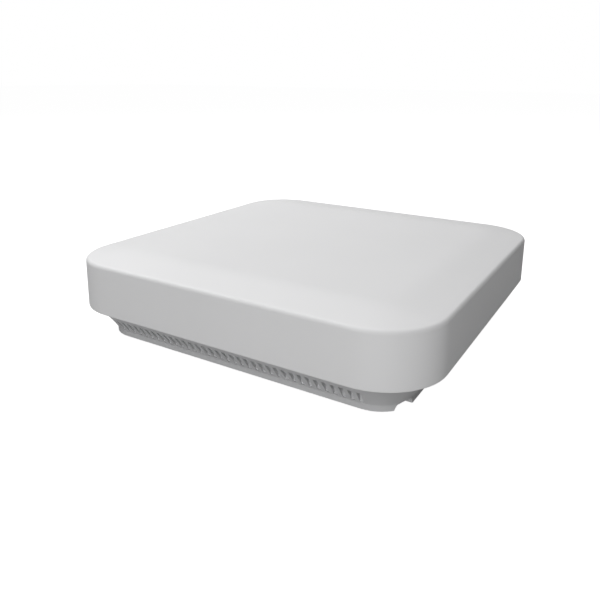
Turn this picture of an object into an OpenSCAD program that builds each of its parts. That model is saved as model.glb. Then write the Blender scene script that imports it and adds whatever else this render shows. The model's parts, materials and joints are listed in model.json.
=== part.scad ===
// Ceiling access point: a flat rounded-square housing on four low feet, with its radios inside.
// Millimetres. The origin is the centre of the footprint, on the surface that the feet stand on.
// +Z points out of the cover's crown, and the port bay opens downwards near the +X -Y corner.

/* [Cover] */
// Width of the cover at its rim, along X
rim_w = 200; // [196:1:240]
// Depth of the cover at its rim, along Y
rim_d = 200; // [196:1:240]
// Plan radius of the corners
corner_r = 30; // [27:1:36]
// Height of the side wall, from its bottom edge to the rim
skirt_h = 26.2; // [26:0.2:32]
// How far the side wall flares out at its bottom edge
flare = 1.15; // [0.6:0.05:2]
// Radius of the rounded rim
rim_round = 3; // [2.4:0.1:4]
// Rise of the crown above the rim
crown_h = 2.5; // [1:0.1:4]
// Wall of the cover
cover_wall = 2; // [1.6:0.1:2.4]
// Skin left over each light pipe, thin enough for the lamp to shine through
lamp_skin = 0.8; // [0.5:0.1:1]

/* [Base] */
// Height of the base, from its lip to the cover's bottom edge
base_h = 16.9; // [16:0.1:20.4]
// How far the lip stands in from the rim
lip_inset = 12.5; // [11:0.5:14]
// Height of the upright lip
lip_h = 2.6; // [1.6:0.1:4.5]
// Wall of the base
base_wall = 2.5; // [2:0.1:3]
// Thickness of the floor
floor_t = 2; // [1.6:0.1:2.4]
// Depth of the underside's recess, from the lip to the floor
recess_h = 1.5; // [1:0.1:2]
// How far the base reaches up inside the cover
neck_h = 4.3; // [3:0.1:5.2]
// Gap between the base's neck and the cover
neck_gap = 0.5; // [0.3:0.1:0.8]
// Number of vent slots on each of the two vented sides
vent_count = 35; // [21:2:37]
// Distance from one vent slot to the next
vent_pitch = 4.18; // [3.6:0.02:4.3]
// Width of a vent slot
vent_w = 2.1; // [1.6:0.1:2.5]
// Height of a vent slot
vent_h = 6.8; // [4:0.1:7.4]
// Radius of the cable notch
notch_r = 5.2; // [4.6:0.1:5.6]

/* [Port bay] */
// Length of the bay, along X, from the sockets to its end wall
bay_l = 44; // [40:1:44]
// Height of the bay above the floor's underside
bay_h = 16.3; // [15:0.1:16.6]
// Wall of the bay
bay_wall = 1.8; // [1.5:0.1:2]
// Width of a modular jack
jack_w = 15.9; // [15.2:0.1:16.1]
// Height of a modular jack
jack_h = 13.4; // [13:0.1:14]
// Length of a modular jack
jack_l = 20; // [18:0.5:20.4]
// Gap between neighbouring jacks
jack_gap = 1.1; // [0.8:0.1:1.3]
// Radius of the power jack's bore
power_bore_r = 3.15; // [2.9:0.05:3.3]
// Radius of the power jack's centre pin
power_pin_r = 1; // [0.8:0.05:1.25]
// Travel of the reset button
reset_travel = 0.3; // [0.2:0.05:0.4]

/* [Mounting] */
// Distance between the two keyholes
keyhole_gap = 100; // [90:1:104]
// Radius of a keyhole's round entry
keyhole_r = 4.5; // [4:0.1:5]
// Half the width of a keyhole's slot
keyhole_slot_r = 2.25; // [1.8:0.05:2.7]
// Length that a stud slides in the keyhole
keyhole_slide = 9; // [8:0.5:10]
// Travel of the release button
release_travel = 3; // [2.4:0.1:3.6]
// Width of the release button's pad
release_w = 12; // [10:0.5:13]
// Width of the lock slot
lock_w = 7; // [6:0.1:8]
// Height of the lock slot
lock_h = 3; // [2.6:0.1:3.6]

/* [Electronics] */
// Thickness of the main board
board_t = 1.6; // [1.2:0.1:2]
// Distance from the rim to the board's edge, along X
board_inset_x = 27; // [26:0.5:28]
// Distance from the rim to the board's edge, along Y
board_inset_y = 24; // [23:0.5:25]
// Height of the shield cans above the board
can_h = 3.25; // [2.9:0.05:3.9]
// Gap between the board and the ground plate
plate_gap = 5.3; // [5:0.1:6]
// Thickness of the ground plate
plate_t = 1.2; // [1:0.1:1.5]
// Diameter of an antenna lead
lead_d = 1.4; // [1:0.1:1.6]

/* [Fasteners and feet] */
// Radius of the housing screws' shanks
screw_r = 1.45; // [1.2:0.05:1.7]
// Radius of the housing screws' heads
screw_head_r = 2.8; // [2.5:0.1:2.9]
// Radius of the small screws' shanks
small_screw_r = 1.2; // [1:0.05:1.4]
// Radius of the small screws' heads
small_head_r = 2.3; // [2:0.1:2.7]
// Radius of a rubber foot
foot_r = 5; // [4.2:0.1:5.1]
// How far the feet stand below the lip
foot_proud = 0.8; // [0.6:0.1:1.2]

/* [Hidden] */

$fn = 64;
eps = 0.01;         // overlap that makes a cut pass right through
fit_gap = 0.3;      // gap round a piece that passes through a wall
slide_gap = 0.4;    // gap round the sliding latch
thread_gap = 0.05;  // gap between a screw's shank and the hole that it bites in
hole_gap = 0.2;     // gap between a screw's shank and the hole that it passes through

// Plan of the housing: half sizes and the centres of the corner arcs
half_x = rim_w / 2;
half_y = rim_d / 2;
arc_x = half_x - corner_r;
arc_y = half_y - corner_r;

// Levels, from the feet up
lip_z = foot_proud;
floor_z = lip_z + recess_h;
floor_top = floor_z + floor_t;
edge_z = lip_z + base_h;
neck_z = edge_z + neck_h;
rim_z = edge_z + skirt_h;
top_z = rim_z + crown_h;

// Sloping wall of the base: radius from the corner arc's centre at a share t of the slope's height
lip_r = corner_r - lip_inset;
neck_r = corner_r + flare * (1 - neck_h / skirt_h) - cover_wall - neck_gap;
slope_steps = 12;
slope_z0 = lip_z + lip_h;
function slope_r(t) = lip_r + (neck_r - lip_r) * (0.68 * t + 0.32 * t * t);
function slope_z(t) = slope_z0 + (edge_z - slope_z0) * t;
inner_rise = 1;     // how much higher the inner face of the slope lies

// Vents: bottom of the slots, upright face behind them and wall of the baffle
vent_z = floor_top + 0.2;
vent_face = arc_y + lip_r + 0.1;
baffle_t = 1.4;

// Port bay: as wide as the row of sockets, and set in from the rim
power_w = 9;
reset_w = 6;
part_gap = 1;
bay_margin = 2;
bay_inset_x = 28;
bay_inset_y = 18;
bay_w = bay_margin + 3 * (jack_w + jack_gap) + power_w + reset_w + 2 * part_gap;
bay_x1 = half_x - bay_inset_x;
bay_x0 = bay_x1 - bay_l;
bay_y0 = bay_inset_y - half_y;
bay_y1 = bay_y0 + bay_w;
bay_roof = floor_z + bay_h;
notch_y = bay_y0 + 5.8;
notch_z = lip_z - 0.6;
channel_wall = 1.8;

// Board and plate levels
board_over_bay = 1.2;
board_z = bay_roof + bay_wall + board_over_bay;
board_top = board_z + board_t;
board_hx = half_x - board_inset_x;
board_hy = half_y - board_inset_y;
plate_z = board_top + plate_gap;
plate_top = plate_z + plate_t;
plate_hx = board_hx - 3;
plate_hy = board_hy - 4;

// Jacks: bodies hang from the board, their mouths face +X into the bay
jack_x1 = bay_x0 - 0.2;
jack_pitch = jack_w + jack_gap;
jack_y0 = bay_y0 + bay_margin + jack_w / 2;
jack_z0 = board_z - jack_h;
plug_w = 11.9;
plug_z0 = jack_z0 + 2.8;
plug_z1 = plug_z0 + 7;
latch_w = 6.4;
latch_h = 2;
socket_l = 16;
contact_count = 8;
contact_pitch = 1.02;
contact_t = 0.35;
contact_gap = 0.1;
contact_l = 10;
contact_tilt = 12;
power_l = 14;
power_h = 13;
power_y = jack_y0 + 3 * jack_pitch - (jack_w - power_w) / 2;
power_axis_z = board_z - power_h + 5;
power_pin_l = 9;
power_depth = 10;

// Reset switch beside the power jack
reset_y = power_y + (power_w + reset_w) / 2 + part_gap;
reset_z = board_z - 4.6;
reset_x0 = bay_x0 - 8;
reset_l = 4;
reset_h = 7;
stem_r = 1.6;
stem_gap = 0.1;
stem_x0 = reset_x0 + 1.6;
stem_x1 = reset_x0 + 5.4;
pinhole_r = 1;

// Keyholes: round entry at the nominal place, slot towards +Y
pocket_half = 5.6;
pocket_h = 6;
pocket_wall = 1.4;

// Release latch on the -X side
pad_x = -(half_x - lip_inset);          // flat face of the finger pocket, flush with the lip
pad_in_x = pad_x + base_wall;
pocket_top = edge_z - 5.7;
pocket_w = release_w + 6;
latch_z0 = floor_top + 0.3;
latch_z1 = floor_top + 6.1;
pad_z0 = latch_z0 + 1.3;
pad_z1 = latch_z1 + 0.1;
pad_proud = 1;
latch_x0 = pad_in_x + slide_gap;
latch_x1 = latch_x0 + 32.6;
latch_body_w = release_w + 3.2;
rail_t = 1.6;
hook_x0 = latch_x1 - 12;
hook_l = 6;
hook_w = 8;
hook_z0 = floor_z + 0.2;
hook_ramp = 2;
tab_slot_x0 = hook_x0 - 8.5;
tab_slot_x1 = hook_x0 + hook_l + release_travel + 0.5;
tab_slot_w = 22;
spring_l = 12;
spring_r = 2.2;
spring_wire_r = 0.3;
spring_turns = 7;
peg_r = 1.3;
peg_l = 3;
stop_w = 10;
spring_z = (latch_z0 + latch_z1) / 2;
spring_x1 = latch_x1 + spring_l;
retainer_x = latch_x0 + 11.6;
retainer_l = 12;
retainer_y = latch_body_w / 2 + fit_gap + rail_t + 2.7;
retainer_t = 1.6;
retainer_edge = 3.2;
retainer_z = latch_z1 + slide_gap;
retainer_boss_r = 3;

// Lock slot on the -X side, behind the latch
lock_y = 40;
lock_z = floor_top + 3.6;
lock_plate_t = 1.2;
lock_plate_h = 9.5;
lock_pocket_w = lock_w + 7;

// Blank label on the floor's underside
label_x = -12;
label_w = 44;
label_d = 30;
label_t = 0.15;

// Places of the screws, posts and feet
housing_spots = [for (x = [-1, 1]) for (y = [-1, 1]) [x * (half_x - 21), y * (half_y - 42)]];
base_boss_r = 4.2;
base_boss_top = floor_top + 7.7;
cover_boss_r = 3.6;
cover_boss_gap = 0.2;
cover_pilot_h = 18;
head_h = 2.4;
head_sink = 3;
housing_screw_l = 20;
board_spots = [[7 - board_hx, 10 - board_hy], [7 - board_hx, board_hy - 10], [board_hx - 7, board_hy - 10],
    [board_hx - 7, bay_y1 + 8], [0, 3 - board_hy], [0, board_hy - 3]];
post_r = 3.5;
small_head_h = 1.6;
board_screw_l = 6;
plate_spots = [for (x = [-1, 1]) for (y = [-1, 1]) [x * (board_hx - 15), y * (board_hy - 12)]];
hex_r = 2.9;
foot_sink = 0.8;
foot_spots = [[27 - half_x, 27 - half_y], [27 - half_x, half_y - 27], [half_x - 27, half_y - 27],
    [half_x - 20.8, -36]];

// Shield cans: centre, size
digital_can = [30, 30, 44, 40];
high_band_can = [-30, 34, 46, 40];
low_band_can = [-30, -30, 46, 40];
can_sheet = 0.3;
tall_h = plate_gap - 0.5;   // height of the tallest parts on the board
can_gap = 0.05;
can_skirt = 2.2;
flange_w = 1.5;

// Antennas on the plate: [x, y, turn about Z], the foot stands at that place and the arm runs along local +X
low_band_spots = [[8 - plate_hx, -6, 90], [-24, 9 - plate_hy, 0], [plate_hx - 8, 4, -90]];
high_band_spots = [[8 - plate_hx, -34, 90], [-8, plate_hy - 9, 180], [plate_hx - 8, 36, -90]];
low_band_arm = 26;
high_band_arm = 13;
antenna_foot = 8;
antenna_sheet = 0.5;
antenna_hole = [0, 3.8];
low_band_h = 7;
high_band_h = 5.5;
arm_w = 5;
feed_w = 1.6;
feed_at = 5;
feed_gap = 1.8;

// Leads: each starts under its antenna's feed and ends on its socket
lead_sides = 8;
lead_steps = 22;
socket_spots = [[-3, 0], [-3, -11], [3, 0], [-3, -5.5], [-3, 11], [3, 8]];
socket_h = 1.4;
lead_slot = [12, 34];
lead_rise = 15;
plug_r = 1.5;
plug_h = 1.2;

lamp_spots = [[0, 36], [0, 44]];
lamp_h = 0.9;
pipe_r = 1.5;
pipe_gap = 0.3;
pipe_flange_r = 2.4;

// ---- Shared shapes ----

// Turns a profile drawn in (radius, height) into a wall round the rounded rectangle of the plan
module round_the_plan() {
    for (k = [0 : 3]) {
        across = k % 2 == 0 ? arc_x : arc_y;
        out = k % 2 == 0 ? arc_y : arc_x;
        rotate([0, 0, 90 * k]) {
            translate([across, out, 0]) rotate_extrude(angle = 90) children();
            translate([-across, out, 0]) rotate([90, 0, 90]) linear_extrude(2 * across) children();
        }
    }
}

// Block given by its low and high corners
module block(low, high) {
    translate(low) cube(high - low);
}

// Upright cylinder between two heights
module post(at, r, z0, z1) {
    translate([at[0], at[1], z0]) cylinder(r = r, h = z1 - z0);
}

// Cylinder along X between two places
module rod_x(y, z, r, x0, x1) {
    translate([x0, y, z]) rotate([0, 90, 0]) cylinder(r = r, h = x1 - x0);
}

// Pan-head screw pointing down, its head standing on the given height
module small_screw(at, seat_z, length) {
    post(at, small_head_r, seat_z, seat_z + small_head_h);
    post(at, small_screw_r, seat_z - length, seat_z + eps);
}

// ---- Cover ----

// Height of the crown at a radius from the corner arc's centre, less a skin
function crown_z(r, skin) = top_z - skin - crown_h * pow(r / (corner_r - rim_round), 2);
crown_steps = 6;

// Section of the cover's wall, outside face or, with the skin, inside face
module cover_section(skin) {
    rim_r = corner_r - rim_round;
    inner_round = max(rim_round - skin, 0.6);
    foot_out = corner_r + flare - skin;
    polygon(concat([[0, edge_z - (skin > 0 ? eps : 0)], [foot_out, edge_z - (skin > 0 ? eps : 0)],
        [corner_r - skin, rim_z - skin - inner_round]],
        [[corner_r - skin - inner_round, rim_z - skin - inner_round]],
        [for (i = [crown_steps : -1 : 0]) let (r = (corner_r - skin - inner_round) * i / crown_steps)
            [r, skin > 0 ? crown_z(min(r, rim_r), skin) : crown_z(r, 0)]]));
    intersection() {
        translate([corner_r - skin - inner_round, rim_z - skin - inner_round]) circle(r = inner_round);
        translate([corner_r - skin - inner_round, rim_z - skin - inner_round]) square(inner_round + 1);
    }
}

// Solid of the cover's outer form or, with the skin, of the space inside it
module cover_form(skin) {
    round_the_plan() cover_section(skin);
    block([-arc_x, -arc_y, edge_z - (skin > 0 ? eps : 0)], [arc_x, arc_y, top_z - skin]);
}

module cover() color("white") difference() {
    union() {
        difference() {
            cover_form(0);
            cover_form(cover_wall);
        }
        for (at = housing_spots)
            post(at, cover_boss_r, base_boss_top + cover_boss_gap, top_z - cover_wall - crown_h / 2 + 1);
    }
    for (at = housing_spots)
        post(at, screw_r + thread_gap, base_boss_top, base_boss_top + cover_pilot_h);
    for (at = lamp_spots) post(at, pipe_r + pipe_gap, plate_top, top_z - lamp_skin);
}

// ---- Base ----

// Section of the base's outer form, with the recess under its floor
module base_section() {
    polygon(concat([[0, floor_z], [lip_r - base_wall, floor_z], [lip_r - base_wall, lip_z], [lip_r, lip_z]],
        [for (i = [0 : slope_steps]) [slope_r(i / slope_steps), slope_z(i / slope_steps)]],
        [[neck_r, neck_z], [0, neck_z]]));
}

// Section of the space inside the base; its sloping face starts where it meets the floor
module base_hollow_section() {
    rise = slope_z0 + inner_rise - floor_top;
    start = max(0, -rise / (edge_z - slope_z0));
    polygon(concat([[0, floor_top]], rise > eps ? [[lip_r - base_wall, floor_top]] : [],
        [for (i = [0 : slope_steps]) let (t = start + (1 - start) * i / slope_steps)
            [slope_r(t) - base_wall, slope_z(t) + inner_rise]],
        [[neck_r - base_wall, neck_z + eps], [0, neck_z + eps]]));
}

module base_form() {
    round_the_plan() base_section();
    block([-arc_x, -arc_y, floor_z], [arc_x, arc_y, neck_z]);
}

module base_hollow() {
    round_the_plan() base_hollow_section();
    block([-arc_x, -arc_y, floor_top], [arc_x, arc_y, neck_z + eps]);
}

// Thickened stretch of the side wall round a pocket, and the pocket itself, flush with the lip
module side_pocket_block(y, width) {
    block([-half_x, y - width / 2 - 1.5, floor_z + 1], [pad_in_x, y + width / 2 + 1.5, pocket_top + 1.5]);
}

module side_pocket(y, width) {
    block([-half_x - 1, y - width / 2, slope_z0], [pad_x, y + width / 2, pocket_top]);
}

// Walls and roof of the port bay
module bay_shell() {
    block([bay_x0 - bay_wall, bay_y0 - bay_wall, floor_z],
        [bay_x1 + bay_wall, bay_y1 + bay_wall, bay_roof + bay_wall]);
}

// Windows that let the sockets through the bay's wall, and the reset pinhole
module bay_windows() {
    x0 = bay_x0 - bay_wall - eps;
    z1 = bay_roof + bay_wall + eps;
    for (i = [0 : 2]) {
        y = jack_y0 + i * jack_pitch;
        block([x0, y - jack_w / 2 - fit_gap, jack_z0 - fit_gap],
            [bay_x0 + eps, y + jack_w / 2 + fit_gap, z1]);
    }
    block([x0, power_y - power_w / 2 - fit_gap, board_z - power_h - fit_gap],
        [bay_x0 + eps, power_y + power_w / 2 + fit_gap, z1]);
    rod_x(reset_y, reset_z, pinhole_r, x0, bay_x0 + eps);
}

// Blind pocket over a keyhole, and the keyhole with its slot towards +Y
module keyhole_pocket(y, grow) {
    block([-pocket_half - grow, y - pocket_half - grow, floor_top - (grow > 0 ? 1 : eps)],
        [pocket_half + grow, y + keyhole_slide + pocket_half + grow, floor_top + pocket_h + grow]);
}

module keyhole(y) {
    post([0, y], keyhole_r, floor_z - eps, floor_top + eps);
    post([0, y + keyhole_slide], keyhole_slot_r, floor_z - eps, floor_top + eps);
    block([-keyhole_slot_r, y, floor_z - eps], [keyhole_slot_r, y + keyhole_slide, floor_top + eps]);
}

// Vent slots in the sloping walls at -Y and +Y, cut back to the upright face of the baffles
module vents() {
    for (turn = [0, 180]) rotate([0, 0, turn])
        for (i = [0 : vent_count - 1]) {
            x = (i - (vent_count - 1) / 2) * vent_pitch;
            block([x - vent_w / 2, -half_y, vent_z], [x + vent_w / 2, -vent_face, vent_z + vent_h]);
        }
}

// Upright baffle behind each row of vent slots; the air passes over its top
module vent_baffles() {
    half_l = ((vent_count - 1) * vent_pitch + vent_w) / 2 + 1;
    for (turn = [0, 180]) rotate([0, 0, turn])
        block([-half_l, -vent_face, floor_z + 1], [half_l, baffle_t - vent_face, vent_z + vent_h + 1.2]);
}

// Walls of the cable channel, from the bay to the notch in the lip, down to the lip's edge
module channel_walls() intersection() {
    union() {
        base_form();
        round_the_plan() translate([0, lip_z]) square([lip_r, recess_h + 1]);
    }
    difference() {
        rod_x(notch_y, notch_z, notch_r + channel_wall, bay_x1, half_x);
        block([bay_x1 - 1, notch_y - 2 * notch_r, -2 * notch_r],
            [half_x + 1, notch_y + 2 * notch_r, lip_z]);
    }
}

// Rails, posts and stop that carry the release latch
module latch_seat() {
    rail_y = latch_body_w / 2 + fit_gap;
    for (side = [-1, 1]) {
        low = side > 0 ? rail_y : -rail_y - rail_t;
        block([pad_in_x - 1, low, floor_z + 1], [latch_x1, low + rail_t, latch_z1 + 0.2]);
        post([retainer_x, side * retainer_y], retainer_boss_r, floor_z + 1, retainer_z);
    }
    block([spring_x1, -stop_w / 2, floor_z + 1], [spring_x1 + 2, stop_w / 2, latch_z1]);
    rod_x(0, spring_z, peg_r, spring_x1 - peg_l, spring_x1 + eps);
}

// Ribs that trap the lock plate against the side wall
module lock_ribs() {
    x0 = pad_in_x + lock_plate_t + 0.2;
    for (side = [-1, 1]) {
        y = lock_y + side * (lock_w / 2 + 1.8);
        block([x0, y - 0.8, floor_z + 1], [x0 + 1.6, y + 0.8, floor_top + lock_plate_h]);
    }
}

module base() color("gainsboro") difference() {
    union() {
        difference() {
            base_form();
            base_hollow();
        }
        intersection() {
            base_form();
            union() {
                side_pocket_block(0, pocket_w);
                side_pocket_block(lock_y, lock_pocket_w);
                vent_baffles();
            }
        }
        channel_walls();
        bay_shell();
        for (at = housing_spots) post(at, base_boss_r, floor_z, base_boss_top);
        for (at = board_spots) post(at, post_r, floor_z + 1, board_z);
        for (side = [-1, 1]) keyhole_pocket(side * keyhole_gap / 2, pocket_wall);
        latch_seat();
        lock_ribs();
    }
    block([bay_x0, bay_y0, floor_z - eps], [bay_x1, bay_y1, bay_roof]);
    bay_windows();
    rod_x(notch_y, notch_z, notch_r, bay_x1 - 1, half_x);
    for (at = housing_spots) {
        post(at, screw_head_r + 0.4, floor_z - eps, floor_z + head_sink);
        post(at, screw_r + hole_gap, floor_z, base_boss_top + eps);
    }
    for (at = board_spots) post(at, small_screw_r + thread_gap, board_z - board_screw_l, board_z + eps);
    for (at = foot_spots) post(at, foot_r + 0.15, floor_z - eps, floor_z + foot_sink);
    for (side = [-1, 1]) {
        keyhole_pocket(side * keyhole_gap / 2, 0);
        keyhole(side * keyhole_gap / 2);
        post([retainer_x, side * retainer_y], small_screw_r + thread_gap, floor_top + 1, retainer_z + eps);
    }
    vents();
    side_pocket(0, pocket_w);
    side_pocket(lock_y, lock_pocket_w);
    block([pad_x - 1, -release_w / 2 - slide_gap, pad_z0 - slide_gap],
        [pad_in_x + eps, release_w / 2 + slide_gap, pad_z1 + slide_gap]);
    block([pad_x - 1, lock_y - lock_w / 2, lock_z - lock_h / 2],
        [pad_in_x + eps, lock_y + lock_w / 2, lock_z + lock_h / 2]);
    block([tab_slot_x0, -tab_slot_w / 2, floor_z - eps], [tab_slot_x1, tab_slot_w / 2, floor_top + eps]);
}

module housing_screws() color("silver") for (at = housing_spots) {
    seat = floor_z + head_sink;
    post(at, screw_head_r, seat - head_h, seat);
    post(at, screw_r, seat - eps, seat + housing_screw_l);
}

module rubber_feet() color("dimgray") for (at = foot_spots) post(at, foot_r, 0, floor_z + foot_sink);

module rating_label() color("whitesmoke")
    block([label_x - label_w / 2, -label_d / 2, floor_z - label_t],
        [label_x + label_w / 2, label_d / 2, floor_z]);

// ---- Release latch ----

module release_button() color("gray") {
    block([latch_x0, -latch_body_w / 2, latch_z0], [latch_x1, latch_body_w / 2, latch_z1]);
    block([pad_x - pad_proud, -release_w / 2, pad_z0], [latch_x0 + 1, release_w / 2, pad_z1]);
    translate([0, 0, hook_z0]) linear_extrude(latch_z0 - hook_z0 + eps) polygon([
        [hook_x0, hook_ramp - hook_w / 2], [hook_x0 + hook_ramp, -hook_w / 2],
        [hook_x0 + hook_l, -hook_w / 2], [hook_x0 + hook_l, hook_w / 2],
        [hook_x0 + hook_ramp, hook_w / 2], [hook_x0, hook_w / 2 - hook_ramp]]);
    rod_x(0, spring_z, peg_r, latch_x1 - eps, latch_x1 + peg_l);
}

// Tube round a list of points: rings[i] holds ring i's corners
module tube(rings) {
    n = len(rings);
    sides = len(rings[0]);
    polyhedron(points = [for (ring = rings) for (p = ring) p],
        faces = concat(
            [[for (k = [0 : sides - 1]) k]], [[for (k = [sides - 1 : -1 : 0]) (n - 1) * sides + k]],
            [for (i = [0 : n - 2]) for (k = [0 : sides - 1]) let (m = (k + 1) % sides)
                [i * sides + k, (i + 1) * sides + k, (i + 1) * sides + m, i * sides + m]]));
}

module release_spring() color("silver") {
    r = spring_r - spring_wire_r;
    steps = 16 * spring_turns;
    x0 = latch_x1 + spring_wire_r + 0.02;
    x1 = spring_x1 - spring_wire_r - 0.02;
    tube([for (i = [0 : steps]) let (a = 360 * i / 16, x = x0 + (x1 - x0) * i / steps)
        [for (k = [0 : 5]) let (b = 60 * k, q = r + spring_wire_r * cos(b))
            [x - spring_wire_r * sin(b), q * cos(a), spring_z + q * sin(a)]]]);
}

module slider_retainer() color("silver") difference() {
    half_w = retainer_y + retainer_edge;
    block([retainer_x - retainer_l / 2, -half_w, retainer_z],
        [retainer_x + retainer_l / 2, half_w, retainer_z + retainer_t]);
    for (side = [-1, 1])
        post([retainer_x, side * retainer_y], small_screw_r + hole_gap, retainer_z - eps,
            retainer_z + retainer_t + eps);
}

module retainer_screws() color("silver") for (side = [-1, 1])
    small_screw([retainer_x, side * retainer_y], retainer_z + retainer_t, 6);

module lock_plate() color("silver") difference() {
    x0 = pad_in_x + 0.1;
    block([x0, lock_y - lock_w / 2 - 2.6, floor_top + 0.1],
        [x0 + lock_plate_t, lock_y + lock_w / 2 + 2.6, floor_top + lock_plate_h]);
    block([x0 - eps, lock_y - lock_w / 2, lock_z - lock_h / 2],
        [x0 + lock_plate_t + eps, lock_y + lock_w / 2, lock_z + lock_h / 2]);
}

// ---- Board ----

// Flat plate with its corners cut off
module cut_plate(hx, hy, cut, z, t) {
    translate([0, 0, z]) linear_extrude(t) polygon([[cut - hx, -hy], [hx - cut, -hy], [hx, cut - hy],
        [hx, hy - cut], [hx - cut, hy], [cut - hx, hy], [-hx, hy - cut], [-hx, cut - hy]]);
}

module main_board() color("green") difference() {
    cut_plate(board_hx, board_hy, 3, board_z, board_t);
    for (at = board_spots) post(at, small_screw_r + hole_gap, board_z - eps, board_top + eps);
}

module board_screws() color("silver") for (at = board_spots) small_screw(at, board_top, board_screw_l);

// Chip or other flat component on the board: [x, y, width, depth, height]
module component(c) {
    block([c[0] - c[2] / 2, c[1] - c[3] / 2, board_top],
        [c[0] + c[2] / 2, c[1] + c[3] / 2, board_top + c[4]]);
}

module board_chips() color("black") {
    component([24, 26, 16, 16, 1.4]);
    for (y = [22, 38]) component([42, y, 9, 11, 1]);
    component([20, 42, 8, 6, 0.9]);
    for (can = [high_band_can, low_band_can]) {
        component([can[0] + 6, can[1], 10, 10, 0.9]);
        for (k = [-1 : 1]) component([can[0] - 12, can[1] + 11 * k, 4, 4, 0.8]);
    }
    component([30, -46, 9, 9, 1]);
    component([28, -66, 6, 6, 0.9]);
}

module can_frame(can) {
    z1 = board_top + can_h - can_sheet - can_gap;
    w = can[2];
    d = can[3];
    difference() {
        block([can[0] - w / 2, can[1] - d / 2, board_top], [can[0] + w / 2, can[1] + d / 2, z1]);
        block([can[0] - w / 2 + can_sheet, can[1] - d / 2 + can_sheet, board_top - eps],
            [can[0] + w / 2 - can_sheet, can[1] + d / 2 - can_sheet, z1 - can_sheet]);
        block([can[0] - w / 2 + flange_w, can[1] - d / 2 + flange_w, board_top],
            [can[0] + w / 2 - flange_w, can[1] + d / 2 - flange_w, z1 + eps]);
    }
}

module can_lid(can) {
    z1 = board_top + can_h;
    w = can[2] / 2 + can_gap;
    d = can[3] / 2 + can_gap;
    difference() {
        block([can[0] - w - can_sheet, can[1] - d - can_sheet, z1 - can_skirt],
            [can[0] + w + can_sheet, can[1] + d + can_sheet, z1]);
        block([can[0] - w, can[1] - d, z1 - can_skirt - eps], [can[0] + w, can[1] + d, z1 - can_sheet]);
    }
}

module digital_shield_frame() color("silver") can_frame(digital_can);
module digital_shield_lid() color("silver") can_lid(digital_can);
module high_band_shield_frame() color("silver") can_frame(high_band_can);
module high_band_shield_lid() color("silver") can_lid(high_band_can);
module low_band_shield_frame() color("silver") can_frame(low_band_can);
module low_band_shield_lid() color("silver") can_lid(low_band_can);

module thermal_pads() color("lightblue") for (can = [digital_can, high_band_can, low_band_can])
    block([can[0] - can[2] / 2 + 8, can[1] - can[3] / 2 + 8, board_top + can_h],
        [can[0] + can[2] / 2 - 8, can[1] + can[3] / 2 - 8, plate_z]);

module lan_transformers() color("black") for (y = [-60, -41]) component([12, y, 12, 15, tall_h]);

module power_transformer() color("black") component([44, -60, 14, 12, tall_h]);

module capacitors() color("darkgray") for (y = [-46, -38, -30])
    post([62, y], 3.1, board_top, board_top + tall_h - 0.2);

module power_inductors() color("dimgray") for (y = [-42, -31]) component([50, y, 6.6, 6.6, 3]);

module status_leds() color("palegreen") for (at = lamp_spots) component([at[0], at[1], 1.6, 1.2, lamp_h]);

module light_pipes() color("aliceblue") for (at = lamp_spots) {
    post(at, pipe_r, board_top + lamp_h + 0.1, top_z - lamp_skin - 0.1);
    post(at, pipe_flange_r, plate_top, plate_top + 0.8);
}

module coax_sockets() color("gold") for (at = socket_spots) {
    component([at[0], at[1], 2.8, 2.8, socket_h - 0.6]);
    post(at, 1, board_top, board_top + socket_h);
}

// ---- Ground plate and antennas ----

module ground_plate() color("silver") difference() {
    cut_plate(plate_hx, plate_hy, 5, plate_z, plate_t);
    block([-lead_slot[0] / 2, -lead_slot[1] / 2, plate_z - eps],
        [lead_slot[0] / 2, lead_slot[1] / 2, plate_top + eps]);
    for (at = plate_spots) post(at, small_screw_r + hole_gap, plate_z - eps, plate_top + eps);
    for (at = lamp_spots) post(at, pipe_r + pipe_gap, plate_z - eps, plate_top + eps);
    at_each_antenna() post(antenna_hole, small_screw_r + thread_gap, plate_z - eps, plate_top + eps);
}

module plate_standoffs() color("gold") for (at = plate_spots) difference() {
    translate([at[0], at[1], board_top]) cylinder(r = hex_r, h = plate_gap, $fn = 6);
    post(at, small_screw_r + thread_gap, board_top - eps, plate_z + eps);
}

module plate_screws() color("silver")
    for (at = plate_spots) small_screw(at, plate_top, plate_t + plate_gap - 0.3);

module at_antenna(spot) {
    translate([spot[0], spot[1], 0]) rotate([0, 0, spot[2]]) children();
}

module at_each_antenna() {
    for (spot = concat(low_band_spots, high_band_spots)) at_antenna(spot) children();
}

// Inverted-F antenna bent from sheet: foot, shorting leg, arm and feed leg
module antenna(spot, arm, h) {
    side = -antenna_foot / 2;
    at_antenna(spot) difference() {
        union() {
            block([side, side, plate_top], [-side, antenna_hole[1] + 3.4, plate_top + antenna_sheet]);
            block([side, side, plate_top], [-side - 2, side + antenna_sheet, plate_top + h]);
            block([side, side, plate_top + h - antenna_sheet], [side + arm, side + arm_w, plate_top + h]);
            block([feed_at, side, plate_top + feed_gap],
                [feed_at + feed_w, side + antenna_sheet, plate_top + h]);
        }
        post(antenna_hole, small_screw_r + hole_gap, plate_top - eps, plate_top + antenna_sheet + eps);
    }
}

module low_band_antenna_1() color("silver") antenna(low_band_spots[0], low_band_arm, low_band_h);
module low_band_antenna_2() color("silver") antenna(low_band_spots[1], low_band_arm, low_band_h);
module low_band_antenna_3() color("silver") antenna(low_band_spots[2], low_band_arm, low_band_h);
module high_band_antenna_1() color("silver") antenna(high_band_spots[0], high_band_arm, high_band_h);
module high_band_antenna_2() color("silver") antenna(high_band_spots[1], high_band_arm, high_band_h);
module high_band_antenna_3() color("silver") antenna(high_band_spots[2], high_band_arm, high_band_h);

module antenna_screws() color("silver")
    at_each_antenna() small_screw(antenna_hole, plate_top + antenna_sheet, plate_t + antenna_sheet + 0.4);

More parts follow.
